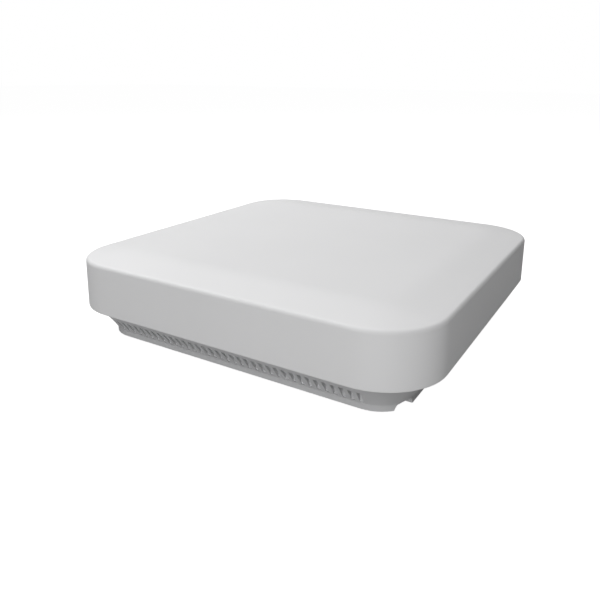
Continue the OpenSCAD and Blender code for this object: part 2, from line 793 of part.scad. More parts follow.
// Place under an antenna's feed leg
function feed_place(spot) = let (x = feed_at + feed_w / 2, y = -antenna_foot / 2 + antenna_sheet / 2)
    [spot[0] + x * cos(spot[2]) - y * sin(spot[2]), spot[1] + x * sin(spot[2]) + y * cos(spot[2])];

function bezier(p, t) = pow(1 - t, 3) * p[0] + 3 * t * pow(1 - t, 2) * p[1] + 3 * t * t * (1 - t) * p[2]
    + pow(t, 3) * p[3];

// Coaxial lead from under a feed leg, over the plate and down through its slot onto a socket's plug
module antenna_lead(i) {
    feed = feed_place(concat(low_band_spots, high_band_spots)[i]);
    end = socket_spots[i];
    plug_z = board_top + socket_h;
    away = end - feed;
    dir = away / norm(away);
    flat_z = plate_top + lead_d / 2 + 0.2;
    p = [[0, flat_z], [0.4 * norm(away), flat_z], [norm(away), plug_z + plug_h + lead_rise],
        [norm(away), plug_z + plug_h / 2]];
    tube([for (k = [0 : lead_steps]) let (t = k / lead_steps, c = bezier(p, t),
            d = bezier(p, min(t + 0.01, 1)) - bezier(p, max(t - 0.01, 0)), u = d / norm(d))
        [for (m = [0 : lead_sides - 1])
            let (a = 360 * m / lead_sides, s = lead_d / 2 * cos(a), w = lead_d / 2 * sin(a))
            [feed[0] + dir[0] * (c[0] - u[1] * w) - dir[1] * s,
             feed[1] + dir[1] * (c[0] - u[1] * w) + dir[0] * s, c[1] + u[0] * w]]]);
    post(end, plug_r, plug_z, plug_z + plug_h);
}

module antenna_lead_1() color("black") antenna_lead(0);
module antenna_lead_2() color("black") antenna_lead(1);
module antenna_lead_3() color("black") antenna_lead(2);
module antenna_lead_4() color("gray") antenna_lead(3);
module antenna_lead_5() color("gray") antenna_lead(4);
module antenna_lead_6() color("gray") antenna_lead(5);

// ---- Sockets of the port bay ----

// Modular jack with its mouth towards +X and its contacts on the board side
module jack(i) difference() {
    y = jack_y0 + i * jack_pitch;
    block([jack_x1 - jack_l, y - jack_w / 2, jack_z0], [jack_x1, y + jack_w / 2, board_z]);
    block([jack_x1 - socket_l, y - plug_w / 2, plug_z0], [jack_x1 + eps, y + plug_w / 2, plug_z1]);
    block([jack_x1 - socket_l, y - latch_w / 2, plug_z0 - latch_h],
        [jack_x1 + eps, y + latch_w / 2, plug_z0 + eps]);
    contact_row(y) block([-contact_t - contact_gap, -contact_t / 2 - contact_gap, plug_z1 - eps],
        [contact_gap, contact_t / 2 + contact_gap, board_z + eps]);
}

module contact_row(y) {
    for (k = [0 : contact_count - 1])
        translate([jack_x1 - 1.2, y + (k - (contact_count - 1) / 2) * contact_pitch, 0]) children();
}

module lan_jack_1() color("silver") jack(0);
module lan_jack_2() color("silver") jack(1);
module console_jack() color("dimgray") jack(2);

module jack_contacts() color("gold") for (i = [0 : 2]) contact_row(jack_y0 + i * jack_pitch) {
    block([-contact_t, -contact_t / 2, plug_z1 - 0.6], [0, contact_t / 2, board_z]);
    translate([-contact_t / 2, -contact_t / 2, plug_z1 - 0.3]) rotate([0, 180 - contact_tilt, 0])
        cube([contact_l, contact_t, contact_t]);
}

module power_jack() color("black") difference() {
    block([jack_x1 - power_l, power_y - power_w / 2, board_z - power_h],
        [jack_x1, power_y + power_w / 2, board_z]);
    rod_x(power_y, power_axis_z, power_bore_r, jack_x1 - power_depth, jack_x1 + eps);
}

module power_jack_pin() color("gold")
    rod_x(power_y, power_axis_z, power_pin_r, jack_x1 - power_depth, jack_x1 - power_depth + power_pin_l);

module reset_switch() color("dimgray") difference() {
    block([reset_x0, reset_y - reset_w / 2, board_z - reset_h],
        [reset_x0 + reset_l, reset_y + reset_w / 2, board_z]);
    rod_x(reset_y, reset_z, stem_r + stem_gap, stem_x0 - reset_travel - 0.1, reset_x0 + reset_l + eps);
}

module reset_button() color("red") rod_x(reset_y, reset_z, stem_r, stem_x0, stem_x1);

cover();
base();
housing_screws();
rubber_feet();
main_board();
board_screws();
board_chips();
digital_shield_frame();
digital_shield_lid();
high_band_shield_frame();
high_band_shield_lid();
low_band_shield_frame();
low_band_shield_lid();
thermal_pads();
ground_plate();
plate_standoffs();
plate_screws();
low_band_antenna_1();
low_band_antenna_2();
low_band_antenna_3();
high_band_antenna_1();
high_band_antenna_2();
high_band_antenna_3();
antenna_screws();
antenna_lead_1();
antenna_lead_2();
antenna_lead_3();
antenna_lead_4();
antenna_lead_5();
antenna_lead_6();
coax_sockets();
lan_jack_1();
lan_jack_2();
console_jack();
jack_contacts();
power_jack();
power_jack_pin();
reset_switch();
reset_button();
status_leds();
light_pipes();
lan_transformers();
power_transformer();
capacitors();
power_inductors();
release_button();
release_spring();
slider_retainer();
retainer_screws();
lock_plate();
rating_label();
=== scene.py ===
import json
import math

import bmesh
import bpy
from mathutils import Matrix, Quaternion, Vector

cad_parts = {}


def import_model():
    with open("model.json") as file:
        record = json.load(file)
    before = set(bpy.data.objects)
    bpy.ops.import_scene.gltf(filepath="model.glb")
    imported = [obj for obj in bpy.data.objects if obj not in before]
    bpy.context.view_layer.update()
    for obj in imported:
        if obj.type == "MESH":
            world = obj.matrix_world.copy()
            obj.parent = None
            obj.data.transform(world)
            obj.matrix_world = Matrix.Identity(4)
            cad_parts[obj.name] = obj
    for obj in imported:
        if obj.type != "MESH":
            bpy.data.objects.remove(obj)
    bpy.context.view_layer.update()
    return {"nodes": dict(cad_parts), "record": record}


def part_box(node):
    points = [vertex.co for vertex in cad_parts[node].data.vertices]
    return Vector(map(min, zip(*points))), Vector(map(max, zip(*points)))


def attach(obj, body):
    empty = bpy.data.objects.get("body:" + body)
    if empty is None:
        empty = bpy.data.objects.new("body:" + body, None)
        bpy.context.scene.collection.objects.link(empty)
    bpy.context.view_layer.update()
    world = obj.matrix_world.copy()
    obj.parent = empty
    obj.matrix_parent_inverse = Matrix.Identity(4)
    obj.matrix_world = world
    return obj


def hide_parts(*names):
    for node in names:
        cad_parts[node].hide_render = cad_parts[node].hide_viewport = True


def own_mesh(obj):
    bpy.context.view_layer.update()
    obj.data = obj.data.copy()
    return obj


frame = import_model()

MM = 0.001
WELD_GAP = 1e-6                     # metres; closer vertices count as one


# ---- Sizes, in millimetres, read from the frame ----

def box_mm(node):
    """Low and high corner of a CAD node, in millimetres."""
    low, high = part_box(node)
    return low / MM, high / MM


def solids(node):
    """Low and high corners, in millimetres, of the separate solids of a CAD node, in order of place."""
    bm = bmesh.new()
    bm.from_mesh(frame["nodes"][node].data)
    bmesh.ops.remove_doubles(bm, verts=bm.verts, dist=WELD_GAP)
    seen = set()
    found = []
    for first in bm.verts:
        if first in seen:
            continue
        seen.add(first)
        island = [first]
        for vert in island:
            for edge in vert.link_edges:
                other = edge.other_vert(vert)
                if other not in seen:
                    seen.add(other)
                    island.append(other)
        low = Vector([min(v.co[i] for v in island) for i in range(3)]) / MM
        high = Vector([max(v.co[i] for v in island) for i in range(3)]) / MM
        found.append((low, high))
    bm.free()
    return sorted(found, key=lambda corners: [round(value, 2) for value in corners[0]])


def middle(corners):
    """Centre of a pair of corners."""
    return (corners[0] + corners[1]) / 2


COVER_HIGH = box_mm("cover")[1]
PLATE_HIGH = box_mm("ground_plate")[1]
FLARE = 1.15                        # how far the side wall stands out at its bottom edge
RIM_X = COVER_HIGH.x - FLARE        # half sizes of the plan at the rim
RIM_Y = COVER_HIGH.y - FLARE
TOP_Z = COVER_HIGH.z
CORNER = 30.0                       # plan radius of the corners
RIM_ROUND = 2.2
CROWN = 2.5                         # rise of the crown above the rim
MARGIN = 15.0                       # width of the evenly sloping margin inside the rim
MARGIN_BLEND = 11.0                 # width over which the margin levels out
LEAST_CORNER = 6.0                  # plan radius at the flat middle of the crown
COVER_WALL = 2.0
SKIRT = 26.2                        # height of the side wall
EDGE_ROUND = 0.4                    # round along the bottom edge of the side wall
RIM_Z = TOP_Z - CROWN
EDGE_Z = RIM_Z - SKIRT              # bottom edge of the side wall
BOSS_R = 3.6                        # cover's screw bosses
BOSS_LOW = 12.2
BOSS_CHAMFER = 0.3
BOSS_OVERLAP = 0.5                  # how far a boss runs into the cover's inner face
PILOT_R = 1.5                       # hole in a boss that the screw bites in
PILOT_LOW = BOSS_LOW - 1            # under the boss, so that the hole is open
PILOT_HIGH = 30.0
LAMP_POCKET_R = 1.8                 # pocket over each light pipe
LAMP_SKIN = 0.8                     # plastic left over the pocket, thin enough for the light


# ---- Mesh helpers ----

def add_object(name, mesh, body="housing", slot=None, replaces=()):
    """Links a piece, makes it ride on a body, gives it its slot's material and hides the CAD nodes it
    replaces.
    """
    obj = bpy.data.objects.new(name, mesh)
    bpy.context.scene.collection.objects.link(obj)
    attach(obj, body)
    if slot:
        mesh.materials.append(MATERIALS[slot])
    if replaces:
        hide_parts(*replaces)
    return obj


def to_mesh(bm, name):
    """Mesh made from a bmesh, its normals outwards."""
    bmesh.ops.recalc_face_normals(bm, faces=bm.faces)
    mesh = bpy.data.meshes.new(name)
    bm.to_mesh(mesh)
    bm.free()
    return mesh


def smooth_by_angle(mesh, degrees=35.0):
    """Smooth shading with sharp edges where faces meet at more than the angle."""
    bm = bmesh.new()
    bm.from_mesh(mesh)
    limit = math.radians(degrees)
    for face in bm.faces:
        face.smooth = True
    for edge in bm.edges:
        edge.smooth = not (edge.is_manifold and edge.calc_face_angle(0.0) > limit)
    bm.to_mesh(mesh)
    bm.free()
    return mesh


QUARTERS = ((1, 1), (-1, 1), (-1, -1), (1, -1))     # signs of X and Y at the corners, anticlockwise


def plan_loop(half_x, half_y, radius, z, arc_steps=14, side_steps=6):
    """Points round a rounded rectangle at a height, in millimetres."""
    points = []
    for corner, (sx, sy) in enumerate(QUARTERS):
        centre = Vector((sx * (half_x - radius), sy * (half_y - radius), z))
        for i in range(arc_steps + 1):
            angle = math.radians(90 * corner + 90 * i / arc_steps)
            points.append(centre + radius * Vector((math.cos(angle), math.sin(angle), 0)))
        nx, ny = QUARTERS[(corner + 1) % 4]
        angle = math.radians(90 * (corner + 1))
        following = Vector((nx * (half_x - radius), ny * (half_y - radius), z))
        following += radius * Vector((math.cos(angle), math.sin(angle), 0))
        start = points[-1].copy()
        points += [start.lerp(following, i / side_steps) for i in range(1, side_steps)]
    return points


def loft(name, loops):
    """Mesh through loops of equally many points; each end is closed with one flat face."""
    bm = bmesh.new()
    rings = [[bm.verts.new(point * MM) for point in loop] for loop in loops]
    count = len(rings[0])
    for low, high in zip(rings, rings[1:]):
        for i in range(count):
            j = (i + 1) % count
            bm.faces.new((low[i], low[j], high[j], high[i]))
    bm.faces.new(list(reversed(rings[0])))
    bm.faces.new(rings[-1])
    return to_mesh(bm, name)


def lathe(name, centre, profile, steps=48):
    """Solid turned about an upright axis; the profile is (radius, height) from one end to the other."""
    turns = [2 * math.pi * i / steps for i in range(steps)]
    around = [(math.cos(turn), math.sin(turn)) for turn in turns]
    loops = []
    for radius, z in profile:
        loops.append([Vector((centre.x + radius * x, centre.y + radius * y, z)) for x, y in around])
    return loft(name, loops)


def box_mesh(name, low, high):
    """Box between two corners, in millimetres."""
    corners = ((low.x, low.y), (high.x, low.y), (high.x, high.y), (low.x, high.y))
    return loft(name, [[Vector((x, y, z)) for x, y in corners] for z in (low.z, high.z)])


def boolean(mesh, cuts):
    """The mesh after a row of cuts or joins, each given as (operation, mesh)."""
    obj = bpy.data.objects.new("work", mesh)
    bpy.context.scene.collection.objects.link(obj)
    tools = []
    for operation, tool_mesh in cuts:
        tool = bpy.data.objects.new("tool", tool_mesh)
        bpy.context.scene.collection.objects.link(tool)
        modifier = obj.modifiers.new("cut", "BOOLEAN")
        modifier.operation = operation
        modifier.solver = "EXACT"
        modifier.object = tool
        tools.append(tool)
    evaluated = obj.evaluated_get(bpy.context.evaluated_depsgraph_get())
    result = bpy.data.meshes.new_from_object(evaluated)
    for used in [obj, *tools]:
        bpy.data.objects.remove(used)
    return result


def joined(name, meshes):
    """One mesh that holds all the given meshes."""
    bm = bmesh.new()
    for mesh in meshes:
        bm.from_mesh(mesh)
    return to_mesh(bm, name)


# ---- Materials, one for each of the record's slots ----

def new_material(name):
    """Material, its node tree and its main shader."""
    made = bpy.data.materials.new(name)
    made.use_nodes = True
    tree = made.node_tree
    return made, tree, tree.nodes["Principled BSDF"]


def noise(tree, scale, detail=3.0, stretch=(1, 1, 1)):
    """Noise in the object's own metres; a small stretch draws it out along that axis."""
    where = tree.nodes.new("ShaderNodeTexCoord")
    mapping = tree.nodes.new("ShaderNodeMapping")
    mapping.inputs["Scale"].default_value = stretch
    made = tree.nodes.new("ShaderNodeTexNoise")
    made.inputs["Scale"].default_value = scale
    made.inputs["Detail"].default_value = detail
    tree.links.new(where.outputs["Object"], mapping.inputs["Vector"])
    tree.links.new(mapping.outputs["Vector"], made.inputs["Vector"])
    return made.outputs["Fac"]


def two_tones(tree, factor, dark, light, low=0.3, high=0.7):
    """Colour that goes from dark to light as the factor goes from low to high."""
    ramp = tree.nodes.new("ShaderNodeValToRGB")
    ramp.color_ramp.elements[0].position = low
    ramp.color_ramp.elements[1].position = high
    ramp.color_ramp.elements[0].color = (*dark, 1)
    ramp.color_ramp.elements[1].color = (*light, 1)
    tree.links.new(factor, ramp.inputs["Fac"])
    return ramp.outputs["Color"]


def surface(name, colour, roughness, metallic=0.0, specular=0.5, tint=0.03, cloud=18.0,
            grain=0.3, depth=0.02, stretch=(1, 1, 1), coat=0.0, gloss_range=0.05):
    """Uneven colour and gloss over a fine grain; grain and depth are in millimetres."""
    made, tree, shader = new_material(name)
    broad = noise(tree, cloud, 4.0, stretch)
    dark = [c * (1 - tint) for c in colour]
    light = [min(1.0, c * (1 + tint)) for c in colour]
    tree.links.new(two_tones(tree, broad, dark, light), shader.inputs["Base Color"])
    gloss = tree.nodes.new("ShaderNodeMapRange")
    gloss.inputs["To Min"].default_value = roughness - gloss_range
    gloss.inputs["To Max"].default_value = roughness + gloss_range
    tree.links.new(broad, gloss.inputs["Value"])
    tree.links.new(gloss.outputs["Result"], shader.inputs["Roughness"])
    bump = tree.nodes.new("ShaderNodeBump")
    bump.inputs["Distance"].default_value = depth * MM
    tree.links.new(noise(tree, 1 / (grain * MM), 2.0, stretch), bump.inputs["Height"])
    tree.links.new(bump.outputs["Normal"], shader.inputs["Normal"])
    shader.inputs["Metallic"].default_value = metallic
    shader.inputs["Specular IOR Level"].default_value = specular
    shader.inputs["Coat Weight"].default_value = coat
    return made


MIX_FACTOR, MIX_FIRST, MIX_SECOND, MIX_RESULT = 0, 6, 7, 2      # a colour mix's sockets, by number


def laminate():
    """Board with solder mask: copper shows through as lighter green lines in patches."""
    made, tree, shader = new_material("board_laminate")
    where = tree.nodes.new("ShaderNodeTexCoord")
    tracks = tree.nodes.new("ShaderNodeTexBrick")
    tracks.inputs["Scale"].default_value = 120.0
    tracks.inputs["Mortar Size"].default_value = 0.09
    tracks.inputs["Mortar Smooth"].default_value = 0.2
    tracks.inputs["Color1"].default_value = (0.012, 0.085, 0.045, 1)
    tracks.inputs["Color2"].default_value = (0.015, 0.105, 0.055, 1)
    tracks.inputs["Mortar"].default_value = (0.035, 0.21, 0.11, 1)
    tree.links.new(where.outputs["Object"], tracks.inputs["Vector"])
    patches = two_tones(tree, noise(tree, 45.0, 1.0), (0, 0, 0), (1, 1, 1), 0.46, 0.5)
    mix = tree.nodes.new("ShaderNodeMix")
    mix.data_type = "RGBA"
    mix.inputs[MIX_FIRST].default_value = (0.014, 0.095, 0.05, 1)
    tree.links.new(patches, mix.inputs[MIX_FACTOR])
    tree.links.new(tracks.outputs["Color"], mix.inputs[MIX_SECOND])
    tree.links.new(mix.outputs[MIX_RESULT], shader.inputs["Base Color"])
    gloss = tree.nodes.new("ShaderNodeMapRange")
    gloss.inputs["To Min"].default_value = 0.25
    gloss.inputs["To Max"].default_value = 0.4
    tree.links.new(noise(tree, 400.0), gloss.inputs["Value"])
    tree.links.new(gloss.outputs["Result"], shader.inputs["Roughness"])
    bump = tree.nodes.new("ShaderNodeBump")
    bump.inputs["Distance"].default_value = 0.03 * MM
    tree.links.new(tracks.outputs["Fac"], bump.inputs["Height"])
    tree.links.new(bump.outputs["Normal"], shader.inputs["Normal"])
    return made


def clear_pipe():
    """Clear moulded rod with faint flow marks."""
    made = surface("pipe_clear", (0.92, 0.95, 0.97), 0.12, tint=0.02, cloud=200.0, grain=0.6, depth=0.01)
    made.node_tree.nodes["Principled BSDF"].inputs["Transmission Weight"].default_value = 0.95
    made.node_tree.nodes["Principled BSDF"].inputs["IOR"].default_value = 1.49
    return made


MATERIALS = {
    "cover_plastic": surface("cover_plastic", (0.815, 0.815, 0.82), 0.5, specular=0.25, tint=0.008,
                             cloud=14.0, grain=0.35, depth=0.012),
    "base_plastic": surface("base_plastic", (0.7, 0.702, 0.71), 0.56, specular=0.35, tint=0.015, cloud=30.0,
                            grain=0.4, depth=0.03),
    "screw_steel": surface("screw_steel", (0.62, 0.62, 0.6), 0.34, metallic=1.0, tint=0.08, cloud=500.0,
                           grain=0.12, depth=0.01),
    "foot_rubber": surface("foot_rubber", (0.045, 0.045, 0.048), 0.82, specular=0.25, tint=0.2, cloud=260.0,
                           grain=0.2, depth=0.05),
    "board_laminate": laminate(),
    "chip_resin": surface("chip_resin", (0.022, 0.022, 0.025), 0.55, tint=0.25, cloud=900.0, grain=0.1,
                          depth=0.02),
    "shield_tin": surface("shield_tin", (0.72, 0.72, 0.7), 0.33, metallic=1.0, tint=0.07, cloud=70.0,
                          grain=0.3, depth=0.008, stretch=(1, 0.15, 1)),
    "pad_silicone": surface("pad_silicone", (0.36, 0.47, 0.56), 0.7, tint=0.06, cloud=120.0, grain=0.25,
                            depth=0.04),
    "plate_aluminium": surface("plate_aluminium", (0.78, 0.79, 0.8), 0.38, metallic=1.0, tint=0.05,
                               cloud=60.0, grain=0.25, depth=0.01, stretch=(0.06, 1, 1), gloss_range=0.08),
    "contact_gold": surface("contact_gold", (0.86, 0.64, 0.26), 0.24, metallic=1.0, tint=0.07, cloud=300.0,
                            grain=0.1, depth=0.006),
    "antenna_steel": surface("antenna_steel", (0.76, 0.75, 0.72), 0.36, metallic=1.0, tint=0.06, cloud=150.0,
                             grain=0.2, depth=0.01, stretch=(1, 1, 0.2)),
    "lead_jacket": surface("lead_jacket", (0.03, 0.03, 0.035), 0.32, tint=0.15, cloud=200.0, grain=0.3,
                           depth=0.01, coat=0.2),
    "socket_plastic": surface("socket_plastic", (0.035, 0.035, 0.038), 0.48, tint=0.12, cloud=160.0,
                              grain=0.25, depth=0.03),
    "button_plastic": surface("button_plastic", (0.42, 0.045, 0.035), 0.4, tint=0.06, cloud=300.0,
                              grain=0.2, depth=0.02),
    "lamp_resin": surface("lamp_resin", (0.75, 0.85, 0.7), 0.18, tint=0.05, cloud=400.0, grain=0.3,
                          depth=0.01, coat=0.4),
    "pipe_clear": clear_pipe(),
    "can_aluminium": surface("can_aluminium", (0.72, 0.72, 0.74), 0.3, metallic=1.0, tint=0.06, cloud=240.0,
                             grain=0.15, depth=0.008, stretch=(1, 1, 0.1)),
    "latch_plastic": surface("latch_plastic", (0.25, 0.253, 0.26), 0.5, tint=0.05, cloud=90.0, grain=0.3,
                             depth=0.04),
    "spring_steel": surface("spring_steel", (0.66, 0.66, 0.65), 0.25, metallic=1.0, tint=0.08, cloud=350.0,
                            grain=0.1, depth=0.008),
    "lock_steel": surface("lock_steel", (0.55, 0.55, 0.54), 0.4, metallic=1.0, tint=0.09, cloud=110.0,
                          grain=0.25, depth=0.015),
    "label_film": surface("label_film", (0.62, 0.63, 0.65), 0.35, tint=0.02, cloud=60.0, grain=0.5,
                          depth=0.01, coat=0.3),
}


# ---- Cover: one smooth moulded shell with its screw bosses and lamp pockets ----

WALL_ROWS = (0.0, 0.03, 0.5, 0.94, 0.985)       # shares of the side wall's height, close at its ends
ROUND_STEPS = 12
MARGIN_STEPS = 4
EDGE_STEPS = 6


def cover_profile(skin):
    """One face of the wall from its bottom edge to the flat middle, as (inset from the rim's plan, height).

    The outer face has skin 0, and the inner face lies one wall thickness in.
    """
    rounding = RIM_ROUND - skin
    wall_top = RIM_Z - RIM_ROUND
    slope = CROWN / (MARGIN + MARGIN_BLEND / 2)
    end_angle = math.pi / 2 - math.atan(slope)
    points = []
    for share in WALL_ROWS:
        z = EDGE_Z + EDGE_ROUND + (wall_top - EDGE_Z - EDGE_ROUND) * share
        points.append((skin - FLARE * (wall_top - z) / (wall_top - EDGE_Z), z))
    for i in range(ROUND_STEPS + 1):
        angle = end_angle * i / ROUND_STEPS
        points.append((skin + rounding * (1 - math.cos(angle)), wall_top + rounding * math.sin(angle)))
    start_inset, start_z = points[-1]
    rise = TOP_Z - skin - start_z
    width = rise / slope - MARGIN_BLEND / 2
    for i in range(1, MARGIN_STEPS + 1):
        share = i / MARGIN_STEPS
        points.append((start_inset + width * share, start_z + slope * width * share))
    for i in range(1, ROUND_STEPS + 1):
        share = i / ROUND_STEPS
        climbed = width + MARGIN_BLEND * (share - share * share / 2)
        points.append((start_inset + width + MARGIN_BLEND * share, start_z + slope * climbed))
    return points


def edge_points(outer, inner):
    """Section of the rounded bottom edge, from the outside face to the inside face."""
    points = []
    for i in range(1, EDGE_STEPS + 1):
        angle = math.pi / 2 * i / EDGE_STEPS
        inset = outer[0] + EDGE_ROUND * (1 - math.cos(angle))
        points.append((inset, outer[1] - EDGE_ROUND * math.sin(angle)))
    for i in range(EDGE_STEPS):
        angle = math.pi / 2 * i / EDGE_STEPS
        inset = inner[0] - EDGE_ROUND * (1 - math.sin(angle))
        points.append((inset, inner[1] - EDGE_ROUND * math.cos(angle)))
    return points


def cover_shell():
    """Shell with its bosses added, then the pilot holes and the lamp pockets cut."""
    outer = cover_profile(0.0)
    inner = cover_profile(COVER_WALL)
    section = list(reversed(outer)) + edge_points(outer[0], inner[0]) + inner
    loops = []
    for inset, z in section:
        loops.append(plan_loop(RIM_X - inset, RIM_Y - inset, max(CORNER - inset, LEAST_CORNER), z))
    cuts = []
    inside_top = TOP_Z - COVER_WALL
    for corners in solids("housing_screws"):
        place = middle(corners)
        profile = [(BOSS_R - BOSS_CHAMFER, BOSS_LOW), (BOSS_R, BOSS_LOW + BOSS_CHAMFER),
                   (BOSS_R, inside_top + BOSS_OVERLAP)]
        cuts.append(("UNION", lathe("boss", place, profile)))
    for corners in solids("housing_screws"):
        pilot = lathe("pilot", middle(corners), [(PILOT_R, PILOT_LOW), (PILOT_R, PILOT_HIGH)])
        cuts.append(("DIFFERENCE", pilot))
    for corners in solids("light_pipes"):
        profile = [(LAMP_POCKET_R, PLATE_HIGH.z), (LAMP_POCKET_R, TOP_Z - LAMP_SKIN)]
        cuts.append(("DIFFERENCE", lathe("pocket", middle(corners), profile)))
    return boolean(loft("cover_shell", loops), cuts)


add_object("cover_shell", smooth_by_angle(cover_shell(), 40), slot="cover_plastic", replaces=["cover"])


# ---- Screws, one group for each node: threaded shank, round head, cross recess ----

THREAD_DEPTH = 0.18
TIP_SHARE = 0.45                    # radius of the tip, as a share of the shank's
TIP_LENGTH = 0.8                    # this and the next five are in pitches of the thread
PLAIN_LENGTH = 1.6                  # part of the shank that has no ridges
FIRST_RIDGE = 0.9
RIDGE_FOOT = 0.1
RIDGE_TOP = 0.5
PLAIN_END = 0.6
SCREW_SIDES = 28
HEAD_EDGE = 0.12                    # chamfer under the head
HEAD_CROWN = 0.45                   # share of the head's height that is domed
DOME_INNER = 0.45                   # radius at which the dome turns level, as a share of the head's
HEAD_FLAT = 0.4                     # radius of the head's flat middle, as a share of the head's
DOME_STEPS = 7
RECESS_ARM = 0.56                   # reach of the recess's arms, as a share of the head's radius
RECESS_HALF = 0.17                  # half their width, as a share of the same
RECESS_DEPTH = 0.6                  # as a share of the head's height
RECESS_FOOT = 0.45                  # size of the recess at its bottom, as a share of its mouth
RECESS_PAST = 0.1                   # how far the cut reaches past the head


def shank_profile(shank, shank_r, pitch):
    """Tip and thread ridges, as (radius, height) from the tip to the head."""
    root = shank_r - THREAD_DEPTH
    profile = [(shank_r * TIP_SHARE, 0.0), (root, pitch * TIP_LENGTH)]
    turns = int((shank - PLAIN_LENGTH * pitch) / pitch)
    for i in range(turns):
        z = pitch * (FIRST_RIDGE + i)
        profile += [(root, z + RIDGE_FOOT * pitch), (shank_r, z + RIDGE_TOP * pitch)]
    return profile + [(root, shank - PLAIN_END * pitch), (root, shank)]


def head_profile(length, head_r, head_h):
    """Pan head with a domed top, as (radius, height)."""
    shank = length - head_h
    dome = HEAD_CROWN * head_h
    profile = [(head_r - HEAD_EDGE, shank), (head_r, shank + HEAD_EDGE)]
    for i in range(DOME_STEPS):
        angle = math.pi / 2 * i / DOME_STEPS
        radius = head_r * (DOME_INNER + (1 - DOME_INNER) * math.cos(angle))
        profile.append((radius, length - dome + dome * math.sin(angle)))
    return profile + [(head_r * HEAD_FLAT, length)]


def screw_mesh(name, corners, head_r, head_h, shank_r, pitch, head_down=False):
    """Screw along Z that fills the box of its CAD solid, its head at the top or, head_down, at the bottom."""
    length = corners[1].z - corners[0].z
    profile = shank_profile(length - head_h, shank_r, pitch) + head_profile(length, head_r, head_h)
    screw = lathe(name, Vector((0, 0, 0)), profile, SCREW_SIDES)
    arm, width = head_r * RECESS_ARM, head_r * RECESS_HALF
    cuts = []
    for half in (Vector((arm, width, 0)), Vector((width, arm, 0))):
        foot = half * RECESS_FOOT
        bottom = length - head_h * RECESS_DEPTH
        low = [Vector((sx * foot.x, sy * foot.y, bottom)) for sx, sy in QUARTERS]
        high = [Vector((sx * half.x, sy * half.y, length + RECESS_PAST)) for sx, sy in QUARTERS]
        cuts.append(("DIFFERENCE", loft("slot", [low, high])))
    screw = boolean(screw, cuts)
    place = middle(corners)
    if head_down:
        screw.transform(Matrix.Rotation(math.pi, 4, "X"))
        place.z = corners[1].z
    else:
        place.z = corners[0].z
    screw.transform(Matrix.Translation(place * MM))
    return screw


def screw_group(node, head_h, shank_r, pitch, head_down=False):
    """One piece that replaces all the screws of a node."""
    meshes = []
    for corners in solids(node):
        head_r = (corners[1].x - corners[0].x) / 2
        meshes.append(screw_mesh(node, corners, head_r, head_h, shank_r, pitch, head_down))
    mesh = smooth_by_angle(joined(node + "_turned", meshes))
    add_object(node + "_turned", mesh, slot="screw_steel", replaces=[node])


screw_group("housing_screws", 2.4, 1.45, 0.9, head_down=True)
for small in ("board_screws", "plate_screws", "retainer_screws"):
    screw_group(small, 1.6, 1.2, 0.6)


# ---- Feet: moulded discs with a rounded sole that is dished in its middle ----

FOOT_ROUND = 0.6
FOOT_CHAMFER = 0.2
FOOT_STEPS = 6
FOOT_SIDES = 64
# the dish from its middle outwards, as (share of the foot's radius, height over the sole)
SOLE_DISH = ((0.16, 0.25), (0.5, 0.25), (0.56, 0.05), (0.6, 0.0))


def rubber_feet():
    """One piece that replaces the four feet."""
    meshes = []
    for corners in solids("rubber_feet"):
        place = middle(corners)
        low, high = corners[0].z, corners[1].z
        radius = (corners[1].x - corners[0].x) / 2
        profile = [(radius * share, low + height) for share, height in SOLE_DISH]
        for i in range(FOOT_STEPS + 1):
            angle = math.pi / 2 * i / FOOT_STEPS
            inset = FOOT_ROUND * (1 - math.sin(angle))
            profile.append((radius - inset, low + FOOT_ROUND * (1 - math.cos(angle))))
        profile += [(radius, high - FOOT_CHAMFER), (radius - FOOT_CHAMFER, high)]
        meshes.append(lathe("foot", place, profile, FOOT_SIDES))
    mesh = smooth_by_angle(joined("feet_moulded", meshes), 30)
    add_object("feet_moulded", mesh, slot="foot_rubber", replaces=["rubber_feet"])


rubber_feet()


# ---- Release spring: round wire in seven turns, the end turns closer together ----

SPRING_TURNS = 7
SPRING_WIRE_R = 0.3
TURN_STEPS = 28
WIRE_SIDES = 10
END_CLOSING = 0.035                 # largest shift of the turns towards the ends, as a share of the length


def release_spring():
    """Wire swept along a helix."""
    low, high = box_mm("release_spring")
    centre = (low + high) / 2
    coil_r = (high.y - low.y) / 2 - SPRING_WIRE_R
    x0, x1 = low.x + SPRING_WIRE_R, high.x - SPRING_WIRE_R
    steps = SPRING_TURNS * TURN_STEPS
    loops = []
    for i in range(steps + 1):
        share = i / steps
        # the end turns lie closer together than the middle ones
        eased = share - END_CLOSING * math.sin(2 * math.pi * share)
        turn = 2 * math.pi * SPRING_TURNS * share
        out = Vector((0, math.cos(turn), math.sin(turn)))
        along = Vector((x0 + (x1 - x0) * eased, 0, 0))
        ring = []
        for k in range(WIRE_SIDES):
            angle = 2 * math.pi * k / WIRE_SIDES
            wire = out * (coil_r + SPRING_WIRE_R * math.cos(angle))
            wire -= Vector((SPRING_WIRE_R * math.sin(angle), 0, 0))
            ring.append(along + wire + Vector((0, centre.y, centre.z)))
        loops.append(ring)
    mesh = smooth_by_angle(loft("spring_coil", loops), 50)
    spring = add_object("spring_coil", mesh, slot="spring_steel", replaces=["release_spring"])
    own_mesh(spring)


release_spring()


# ---- Capacitors: drawn cans with a rolled groove and a scored vent ----

